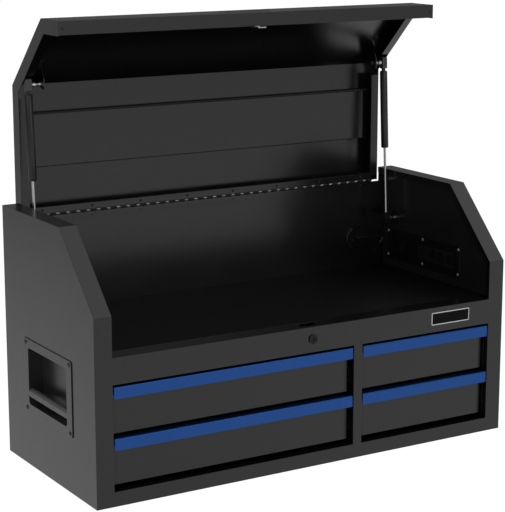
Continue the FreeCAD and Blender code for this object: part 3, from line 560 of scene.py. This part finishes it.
rivetHeads = rivetTree()


def rivets(name, body, places, facing, head, finish):
    ways = facing if isinstance(facing, list) else [facing] * len(places)
    piece = runTree(name, pointMesh(name, places, ways), rivetHeads, {
        "Radius": head[0] * mm, "Height": head[1] * mm, "Material": finishes[finish]})
    return finishPiece(piece, body)


def boxOf(node):  # a node's corners in millimetres
    low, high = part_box(node)
    return [v / mm for v in low], [v / mm for v in high]


# Each head is its radius and height.
rivetPlan = {"drawerRows": (70.0, 200.0, 330.0), "drawerRise": 38.0, "drawerSheet": 0.9,
             "leafCount": 8, "leafPitch": 122.0, "lipInset": 9.0, "lipDrop": 16.0,
             "dishAt": (501.0, 109.0, 246.0), "drawerHead": (3.2, 1.2),
             "caseLeafHead": (2.2, 0.7), "lidLeafHead": (3.0, 1.2), "smallHead": (2.6, 1.0),
             "caseLeafOut": 0.2, "lidLeafOut": 0.5}
for row in ("lower", "upper"):
    for bay in ("left", "right"):
        low, high = boxOf(f"{row}_{bay}_drawer_box")
        z = low[2] + rivetPlan["drawerRise"]
        walls = (low[0] + rivetPlan["drawerSheet"], high[0] - rivetPlan["drawerSheet"])
        spots = [(x, low[1] + y, z) for x in walls for y in rivetPlan["drawerRows"]]
        ways = [(1, 0, 0)] * 3 + [(-1, 0, 0)] * 3
        rivets(f"{row}_{bay}_drawerRivets", f"{row}_{bay}_drawer", spots, ways,
               rivetPlan["drawerHead"], "zincPlate")
leafMiddle = hinge["leafStart"] + hinge["leafHeight"] / 2
leafSpots = [(i - (rivetPlan["leafCount"] - 1) / 2) * rivetPlan["leafPitch"]
             for i in range(rivetPlan["leafCount"])]
rivets("caseLeafRivets", "case",
       [(x, hinge["pinY"] - rivetPlan["caseLeafOut"], hinge["pinZ"] - leafMiddle)
        for x in leafSpots],
       (0, -1, 0), rivetPlan["caseLeafHead"], "blackPowderCoat")
rivets("lidLeafRivets", "lid",
       [(x, hinge["pinY"] - rivetPlan["lidLeafOut"], hinge["pinZ"] + leafMiddle)
        for x in leafSpots],
       (0, -1, 0), rivetPlan["lidLeafHead"], "flatBlackAndShade")
lidLow, lidHigh = boxOf("lid_shell")
lipEnd = lidHigh[0] - rivetPlan["lipInset"]
rivets("lidLipRivets", "lid",
       [(x, lidLow[1], lidHigh[2] - rivetPlan["lipDrop"]) for x in (-lipEnd, lipEnd)],
       (0, -1, 0), rivetPlan["smallHead"], "nickelPlate")
dishX, dishY, dishZ = rivetPlan["dishAt"]
rivets("dishRivets", "case", [(x, dishY, dishZ) for x in (-dishX, dishX)],
       (0, -1, 0), rivetPlan["smallHead"], "zincPlate")
print("rivets: drawers, hinge, lid and handle dishes")

drawerEdge = {"wide": 5.2, "sheet": 0.9, "overlap": 0.05}
for row in ("lower", "upper"):
    for bay in ("left", "right"):
        # The folded edges of the drawer's front reach past its sides.
        low, high = boxOf(f"{row}_{bay}_drawer_box")
        outline = [(low[1], low[2]), (low[1] + drawerEdge["sheet"], low[2]),
                   (low[1] + drawerEdge["sheet"], high[2]), (low[1], high[2])]
        sheetForm(f"{row}_{bay}_frontEdges", [
            (low[0] - drawerEdge["wide"], low[0] + drawerEdge["overlap"], outline),
            (high[0] - drawerEdge["overlap"], high[0] + drawerEdge["wide"], outline)],
            "blackPowderCoat", f"{row}_{bay}_drawer")
print("drawers: edges of the fronts")


lidForms = {"halfLength": 462.1, "front": 238.6, "back": 249.5, "low": 634.0, "high": 749.2,
            "plate": ((189.9, 870.5), (234.4, 827.1), (172.6, 809.1), (172.6, 833.1)),
            "foot": ((189.3, 871.0), (190.7, 872.4), (236.6, 827.8), (235.2, 826.4)),
            "gussetOut": 436.5, "gussetSheet": 2.0, "gussetFoot": 13.0,
            "beadY": (0.5, 7.0), "beadZ": (-0.6, 4.6), "beadEdge": 2.0,
            "seamY": (1.0, 5.0), "seamZ": (-2.0, 0.4), "seamEdge": 0.8}
# Channel across the inside of the lid's flat panel, with near-black strips of painted shade along its
# upper and lower edges.
stiffOutline = [(lidForms["front"], lidForms["low"]), (lidForms["back"], lidForms["low"]),
                (lidForms["back"], lidForms["high"]), (lidForms["front"], lidForms["high"])]
sheetForm("lidStiffener", [(-lidForms["halfLength"], lidForms["halfLength"], stiffOutline)],
          "blackPowderCoat", "lid", ["lid_stiffener"])
# The near-black strips over and under the channel are painted shade.
for name, part, height in (("stiffenerUpperShade", "bead", "high"), ("stiffenerLowerShade", "seam", "low")):
    spanY = [lidForms["front"] + offset for offset in lidForms[part + "Y"]]
    spanZ = [lidForms[height] + offset for offset in lidForms[part + "Z"]]
    block(name, [(-lidForms["halfLength"], spanY[0], spanZ[0]),
                 (lidForms["halfLength"], spanY[1], spanZ[1])],
          "flatBlackAndShade", "lid", lidForms[part + "Edge"])
# Gusset plates for the struts' upper studs, welded to the lid's slope.
gussets = []
for side in (-1, 1):
    out = side * lidForms["gussetOut"]
    gussets.append((out, out - side * lidForms["gussetSheet"], lidForms["plate"]))
    gussets.append((out, out - side * lidForms["gussetFoot"], lidForms["foot"]))
sheetForm("strutGussets", gussets, "blackPowderCoat", "lid",
          ["strut_top_gussets"])
print("lid: stiffener and strut gussets")

# Each side is double beside the compartment: a wall stands behind the lip.
innerWall = {"x": 495.6, "sheet": 1.2,
             "outline": ((-220.2, 314.4), (-220.2, 400.9), (-67.0, 558.7), (217.5, 558.7),
                         (217.5, 314.4)),
             "earInner": 480.5, "earOuter": 519.3, "earY": (219.1, 220.3),
             "earZ": (525.0, 558.8)}
for side, name in ((-1, "leftInnerWall"), (1, "rightInnerWall")):
    near = side * innerWall["x"]
    # The inner walls take the paler copy of the black coat: painted light.
    sheetForm(name, [(near, near + side * innerWall["sheet"], innerWall["outline"])],
              "paintedLightWallCoat", "case")
    earX = sorted((side * innerWall["earInner"], side * innerWall["earOuter"]))
    block(name.replace("InnerWall", "RearEar"), [
        (earX[0], innerWall["earY"][0], innerWall["earZ"][0]),
        (earX[1], innerWall["earY"][1], innerWall["earZ"][1])], "paintedLightInnerCoat",
        "case")
print("sides: inner walls and rear ears")


def tubePiece(name, rings, start, along, finish, body, replaced=()):
    # A turned piece: radii at distances along an axis, in millimetres.
    sides = strut["sides"]
    mesh = bmesh.new()
    turn = Vector(along).to_track_quat("Z", "Y").to_matrix()
    loops = []
    for distance, radius in rings:
        spots = [turn @ Vector((radius * math.cos(i * 2 * math.pi / sides),
                                radius * math.sin(i * 2 * math.pi / sides), distance))
                 for i in range(sides)]
        loops.append([mesh.verts.new((Vector(start) + spot) * mm) for spot in spots])
    for low, high in zip(loops, loops[1:]):
        for i in range(sides):
            after = i + 1 - sides
            mesh.faces.new((low[i], low[after], high[after], high[i]))
    mesh.faces.new(loops[0])
    mesh.faces.new(loops[-1])
    bmesh.ops.recalc_face_normals(mesh, faces=mesh.faces)
    data = bpy.data.meshes.new(name)
    mesh.to_mesh(data)
    mesh.free()
    data.materials.append(finishes[finish])
    piece = linkObject(name, data)
    data.shade_smooth()
    data.set_sharp_from_angle(angle=math.radians(strut["sharpAngle"]))
    return finishPiece(piece, body, replaced)


# Gas struts: cylinder with a rolled end, and collars on the studs at both ends.
strut = {"x": 467.0, "top": (187.55, 822.05), "foot": (165.5, 441.0), "tubeLow": 174.0,
         "tubeHigh": 361.0, "tubeRadius": 9.0, "rolledRadius": 7.4, "neckRadius": 4.6,
         "neckHigh": 368.0, "roll": 2.5, "collarRadius": 5.6, "collarLength": 6.0,
         "topCollars": (457.0, 443.5), "footCollar": 480.0, "sides": 32, "sharpAngle": 35.0}
for side, name in ((-1, "left"), (1, "right")):
    x = side * strut["x"]
    foot, top = Vector((x, *strut["foot"])), Vector((x, *strut["top"]))
    low, high, wide = strut["tubeLow"], strut["tubeHigh"], strut["tubeRadius"]
    tubePiece(name + "StrutCylinder", [
        (low, strut["rolledRadius"]), (low + strut["roll"], wide), (high - strut["roll"], wide),
        (high, strut["rolledRadius"]), (high + 0.01, strut["neckRadius"]),
        (strut["neckHigh"], strut["neckRadius"])],
        foot, top - foot, "strutLacquer", name + "_tube",
        [name + "_strut_tube"])
    collars = [(along, top) for along in strut["topCollars"]] + [(strut["footCollar"], foot)]
    for along, place in collars:
        start = (side * along, place.y, place.z)
        body = "lid" if place is top else "case"
        tubePiece(f"{name}StudCollar{along:.0f}", [(0.0, strut["collarRadius"]),
                  (strut["collarLength"], strut["collarRadius"])], start, (-side, 0, 0),
                  "zincPlate", body)
print("struts: cylinders and stud collars")


# Power strip's outlets, charging ports and bezel.
strip = {"face": 495.3, "recess": 496.8, "z": 373.1,
         "outletY": (10.9, -21.1, -53.1), "outletRadius": 13.4, "outletHeight": 1.3,
         "slotLength": 7.5, "slotWidth": 1.6, "slotApart": 6.35, "earthRadius": 2.4,
         "earthDrop": 8.6, "portY": (58.9, 50.4, 41.9, 33.4), "portLength": 15.0,
         "portWidth": 6.4, "portWall": 1.3, "bezelLength": 37.0, "bezelWidth": 21.0,
         "bezelWall": 2.6, "portHeight": 1.0, "bezelHeight": 0.9}


def outletTree():
    # Round outlet faces: two upright slots and a round earth hole cut into each.
    tree, inputs, out = newTree("outletFaces", {
        "Radius": "Float", "Height": "Float", "Slot Length": "Float", "Slot Width": "Float",
        "Slot Apart": "Float", "Earth Radius": "Float", "Earth Drop": "Float",
        "Material": "Material"})
    face = addNode(tree, "GeometryNodeMeshCylinder", {
        "Vertices": 40, "Radius": inputs["Radius"], "Depth": inputs["Height"]}).outputs["Mesh"]
    face = moved(tree, face, z=math2(tree, "MULTIPLY", inputs["Height"], 0.5))
    deep = math2(tree, "MULTIPLY", inputs["Height"], 3.0)
    size = addNode(tree, "ShaderNodeCombineXYZ", {
        "X": inputs["Slot Length"], "Y": inputs["Slot Width"], "Z": deep}).outputs[0]
    slot = addNode(tree, "GeometryNodeMeshCube", {"Size": size}).outputs["Mesh"]
    apart = inputs["Slot Apart"]
    cuts = [moved(tree, slot, y=apart), moved(tree, slot, y=math2(tree, "MULTIPLY", apart, -1.0))]
    earth = addNode(tree, "GeometryNodeMeshCylinder", {
        "Vertices": 20, "Radius": inputs["Earth Radius"], "Depth": deep}).outputs["Mesh"]
    cuts.append(moved(tree, earth, x=math2(tree, "MULTIPLY", inputs["Earth Drop"], -1.0)))
    cut = addNode(tree, "GeometryNodeMeshBoolean", {"Mesh 1": face}, operation="DIFFERENCE",
                  solver="EXACT")
    for shape in cuts:
        tree.links.new(shape, cut.inputs["Mesh 2"])
    return endTree(tree, out, onPoints(tree, inputs, cut.outputs["Mesh"]), inputs["Material"])


def frameTree():
    # Raised rectangular frames, for charging ports and the rocker's bezel.
    tree, inputs, out = newTree("mouldedFrames", {
        "Length": "Float", "Width": "Float", "Wall": "Float", "Height": "Float",
        "Material": "Material"})
    shapes = []
    for shrink, rise in ((0.0, 2.0), (2.0, 6.0)):
        less = math2(tree, "MULTIPLY", inputs["Wall"], shrink)
        size = addNode(tree, "ShaderNodeCombineXYZ", {
            "X": math2(tree, "SUBTRACT", inputs["Length"], less),
            "Y": math2(tree, "SUBTRACT", inputs["Width"], less),
            "Z": math2(tree, "MULTIPLY", inputs["Height"], rise)}).outputs[0]
        shapes.append(addNode(tree, "GeometryNodeMeshCube", {"Size": size}).outputs["Mesh"])
    cut = addNode(tree, "GeometryNodeMeshBoolean", {"Mesh 1": shapes[0]},
                  operation="DIFFERENCE", solver="EXACT")
    tree.links.new(shapes[1], cut.inputs["Mesh 2"])
    return endTree(tree, out, onPoints(tree, inputs, cut.outputs["Mesh"]), inputs["Material"])


frames = frameTree()


def stripPiece(name, tree, places, values, finish):
    mesh = pointMesh(name, places, [(-1, 0, 0)] * len(places))
    piece = runTree(name, mesh, tree, {**values, "Material": finishes[finish]})
    return finishPiece(piece, "case")


stripPiece("outletFaces", outletTree(),
           [(strip["recess"], y, strip["z"]) for y in strip["outletY"]],
           {"Radius": strip["outletRadius"] * mm, "Height": strip["outletHeight"] * mm,
            "Slot Length": strip["slotLength"] * mm, "Slot Width": strip["slotWidth"] * mm,
            "Slot Apart": strip["slotApart"] * mm, "Earth Radius": strip["earthRadius"] * mm,
            "Earth Drop": strip["earthDrop"] * mm}, "stripFace")
stripPiece("chargingPorts", frames,
           [(strip["recess"], y, strip["z"]) for y in strip["portY"]],
           {"Length": strip["portLength"] * mm, "Width": strip["portWidth"] * mm,
            "Wall": strip["portWall"] * mm, "Height": strip["portHeight"] * mm}, "stripFace")
rockerLow, rockerHigh = boxOf("power_rocker")
stripPiece("rockerBezel", frames,
           [(strip["face"], (rockerLow[1] + rockerHigh[1]) / 2, strip["z"])],
           {"Length": strip["bezelLength"] * mm, "Width": strip["bezelWidth"] * mm,
            "Wall": strip["bezelWall"] * mm, "Height": strip["bezelHeight"] * mm}, "stripFace")
print("power strip: outlet faces, charging ports and a bezel")

# Cable grommet's slits and rib.
grommet = {"x": 442.3, "z": 388.1, "face": 218.7, "lobe": 32.0, "slits": 8, "slitLength": 13.0,
           "slitWidth": 0.9, "slitHeight": 0.35, "inner": 3.0,
           "rib": ((418.0, 215.6, 386.0), (490.0, 219.0, 389.6)), "ribEdge": 1.5}


def slitTree():
    # Thin raised lips in stars, where a grommet's web is slit.
    tree, inputs, out = newTree("grommetSlits", {
        "Count": "Int", "Length": "Float", "Width": "Float", "Height": "Float",
        "Inner": "Float", "Material": "Material"})
    size = addNode(tree, "ShaderNodeCombineXYZ", {
        "X": inputs["Length"], "Y": inputs["Width"], "Z": inputs["Height"]}).outputs[0]
    lip = addNode(tree, "GeometryNodeMeshCube", {"Size": size}).outputs["Mesh"]
    half = math2(tree, "MULTIPLY", inputs["Length"], 0.5)
    lip = moved(tree, lip, x=math2(tree, "ADD", inputs["Inner"], half))
    ring = addNode(tree, "GeometryNodeMeshCircle", {
        "Vertices": inputs["Count"], "Radius": 1e-5}).outputs["Mesh"]
    spin = addNode(tree, "FunctionNodeAlignRotationToVector", {
        "Vector": addNode(tree, "GeometryNodeInputPosition").outputs[0]}, axis="X")
    star = addNode(tree, "GeometryNodeInstanceOnPoints", {
        "Points": ring, "Instance": lip, "Rotation": spin.outputs["Rotation"]}).outputs[0]
    star = addNode(tree, "GeometryNodeRealizeInstances", {"Geometry": star}).outputs[0]
    return endTree(tree, out, onPoints(tree, inputs, star), inputs["Material"])


lobes = [(grommet["x"] + side * grommet["lobe"], grommet["face"], grommet["z"])
         for side in (-1, 1)]
slitPiece = runTree("grommetSlits", pointMesh("grommetSlits", lobes, [(0, -1, 0)] * 2),
                    slitTree(), {
    "Count": grommet["slits"], "Length": grommet["slitLength"] * mm,
    "Width": grommet["slitWidth"] * mm, "Height": grommet["slitHeight"] * mm,
    "Inner": grommet["inner"] * mm, "Material": finishes["stripFace"]})
finishPiece(slitPiece, "case")
block("grommetRib", grommet["rib"], "glossNylon", "case", grommet["ribEdge"])
print("grommet: slit stars and a rib between them")


# Bare badge plate.
badge = {"x": 370.5, "z": 288.5, "width": 106.0, "height": 29.0, "thickness": 1.4,
         "rim": 2.2, "corner": 3.0, "least": 0.5, "cornerSteps": 6, "sunk": 0.02,
         "rimDepth": 0.7, "rimBevel": 0.4, "fieldBevel": 0.3}


def badgeOutline(grow):
    # A plate with rounded corners.
    half = [badge["width"] / 2 + grow, badge["height"] / 2 + grow]
    radius = max(badge["corner"] + grow, badge["least"])
    points = []
    for sx, sz, startTurn in ((1, 1, 0), (-1, 1, 90), (-1, -1, 180), (1, -1, 270)):
        for step in range(badge["cornerSteps"] + 1):
            turn = math.radians(startTurn + step * 90 / badge["cornerSteps"])
            x = badge["x"] + sx * (half[0] - radius) + radius * math.cos(turn)
            z = badge["z"] + sz * (half[1] - radius) + radius * math.sin(turn)
            points.append((x, z))
    return points


frontY = boxOf("top_rail")[0][1]
slab("badgeRim", badgeOutline(0.0), frontY - badge["thickness"] * badge["rimDepth"],
     frontY + badge["sunk"], "badgeRim", "case", badge["rimBevel"])
slab("badgeField", badgeOutline(-badge["rim"]), frontY - badge["thickness"],
     frontY + badge["sunk"], "badgeBlack", "case", badge["fieldBevel"])
print("badge: plain plate with a pale rim")


def arcBand(centre, inner, outer, middleTurn, halfTurn):
    # A stretch of a flat ring, as (x, z) points; turns in degrees.
    turns = [math.radians(middleTurn + halfTurn * (i / collar["steps"] - 1))
             for i in range(2 * collar["steps"] + 1)]
    points = [(centre[0] + outer * math.cos(t), centre[1] + outer * math.sin(t)) for t in turns]
    return points + [(centre[0] + inner * math.cos(t), centre[1] + inner * math.sin(t))
                     for t in reversed(turns)]


collar = {"inner": 21.6, "outer": 24.4, "proud": 2.6, "halfTurn": 72.0, "steps": 8,
          "sunk": 0.3, "edge": 0.9}
for side, name, turn in ((-1, "Left", 180.0), (1, "Right", 0.0)):
    middle = (grommet["x"] + side * grommet["lobe"], grommet["z"])
    slab(f"grommetCollar{name}", arcBand(middle, collar["inner"], collar["outer"], turn,
                                         collar["halfTurn"]),
         grommet["face"] - collar["proud"], grommet["face"] + collar["sunk"], "glossNylon",
         "case", collar["edge"])
print("grommet: raised collars round its ends")


# Camera, lights and floor.
cameraAt = {"place": (-1.9295, -3.1488, 1.2299), "forward": (0.50719, 0.83536, -0.21199),
            "focalPixels": 1687.53, "longSidePixels": 512}
camera = bpy.data.cameras.new("camera")
camera.sensor_width = 36.0
camera.lens = cameraAt["focalPixels"] / cameraAt["longSidePixels"] * camera.sensor_width
cameraObject = bpy.data.objects.new("camera", camera)
bpy.context.scene.collection.objects.link(cameraObject)
cameraObject.location = cameraAt["place"]
cameraObject.rotation_euler = Vector(cameraAt["forward"]).to_track_quat("-Z", "Y").to_euler()
bpy.context.scene.camera = cameraObject

lightAim = (0, 0, 0.35)
lights = {
    "key": {"at": (-3.2, -1.6, 2.9), "size": 2.6, "power": 22.0},
    "front": {"at": (1.2, -4.2, 2.4), "size": 2.8, "power": 40.0},
    "top": {"at": (1.8, -1.0, 4.2), "size": 3.8, "power": 22.0},
}
for name, plan in lights.items():
    lamp = bpy.data.lights.new(name, "AREA")
    lamp.shape = "SQUARE"
    lamp.size = plan["size"]
    lamp.energy = plan["power"]
    lampObject = bpy.data.objects.new(name, lamp)
    lampObject.location = plan["at"]
    aim = Vector(lightAim) - Vector(plan["at"])
    lampObject.rotation_euler = aim.to_track_quat("-Z", "Y").to_euler()
    bpy.context.scene.collection.objects.link(lampObject)

world = bpy.data.worlds.new("studio")
bpy.context.scene.world = world
world.use_nodes = True
worldTree = world.node_tree
worldTree.nodes.clear()
rays = addNode(worldTree, "ShaderNodeLightPath").outputs
seen = addNode(worldTree, "ShaderNodeMath", {0: rays["Is Camera Ray"],
                                             1: rays["Is Transmission Ray"]},
               operation="MAXIMUM").outputs[0]
aimed = addNode(worldTree, "ShaderNodeTexCoord").outputs["Object"]
height = addNode(worldTree, "ShaderNodeSeparateXYZ", {0: aimed}).outputs["Z"]
mirrored = addNode(worldTree, "ShaderNodeMapRange", {"Value": height, "From Min": 0.15,
                                                     "From Max": 0.8, "To Min": 0.12,
                                                     "To Max": 0.62}).outputs[0]
lit = addNode(worldTree, "ShaderNodeMix", {0: rays["Is Glossy Ray"], 2: 0.4, 3: mirrored},
              data_type="FLOAT").outputs[0]
strength = addNode(worldTree, "ShaderNodeMix", {0: seen, 2: lit, 3: 1.0},
                   data_type="FLOAT").outputs[0]
backdrop = addNode(worldTree, "ShaderNodeBackground", {"Color": (1, 1, 1, 1),
                                                       "Strength": strength})
addNode(worldTree, "ShaderNodeOutputWorld", {"Surface": backdrop.outputs[0]})


def whiteFloor():
    # Matt white studio floor: seen as white, still darkened by the chest's shadow.
    material = bpy.data.materials.new("whiteFloor")
    material.use_nodes = True
    tree = material.node_tree
    tree.nodes.clear()
    paper = objectNoise(tree, 400.0).outputs["Fac"]
    shade = addNode(tree, "ShaderNodeBsdfDiffuse", {
        "Color": ramp(tree, paper, 0.3, 0.7, linear("#d0d0d0"), linear("#d6d6d6"))})
    path = addNode(tree, "ShaderNodeLightPath").outputs
    gloss = addNode(tree, "ShaderNodeMath", {0: path["Is Glossy Ray"], 1: 0.8},
                    operation="MULTIPLY").outputs[0]
    eye = addNode(tree, "ShaderNodeMath", {0: path["Is Camera Ray"], 1: 0.9},
                  operation="MULTIPLY").outputs[0]
    both = addNode(tree, "ShaderNodeMath", {0: gloss, 1: eye}, operation="MAXIMUM").outputs[0]
    place = addNode(tree, "ShaderNodeTexCoord").outputs["Object"]
    behind = addNode(tree, "ShaderNodeVectorMath", {0: place, 1: (-0.5, 0.866, 0.0)},
                     operation="DOT_PRODUCT").outputs["Value"]
    mirrored = ramp(tree, behind, -0.3, 3.8, 1.0, 0.43)  # the studio is dimmer behind the chest
    strength = addNode(tree, "ShaderNodeMix", {0: path["Is Glossy Ray"], 2: 1.12, 3: mirrored},
                       data_type="FLOAT").outputs[0]
    glow = addNode(tree, "ShaderNodeEmission", {"Color": (1, 1, 1, 1), "Strength": strength})
    mixed = addNode(tree, "ShaderNodeMixShader", {0: both, 1: shade.outputs[0],
                                                  2: glow.outputs[0]})
    addNode(tree, "ShaderNodeOutputMaterial", {"Surface": mixed.outputs[0]})
    return material


floorMesh = bpy.data.meshes.new("floor")
reach = 40.0
belowBase = 0.0005
floorMesh.from_pydata([(-reach, -reach, 0), (reach, -reach, 0), (reach, reach, 0),
                       (-reach, reach, 0)], [], [(0, 1, 2, 3)])
floorMesh.materials.append(whiteFloor())
floor = linkObject("floor", floorMesh)
floor.location.z = -belowBase
bpy.context.scene.view_settings.view_transform = "Standard"
print("stage: camera, three soft lamps, white floor")
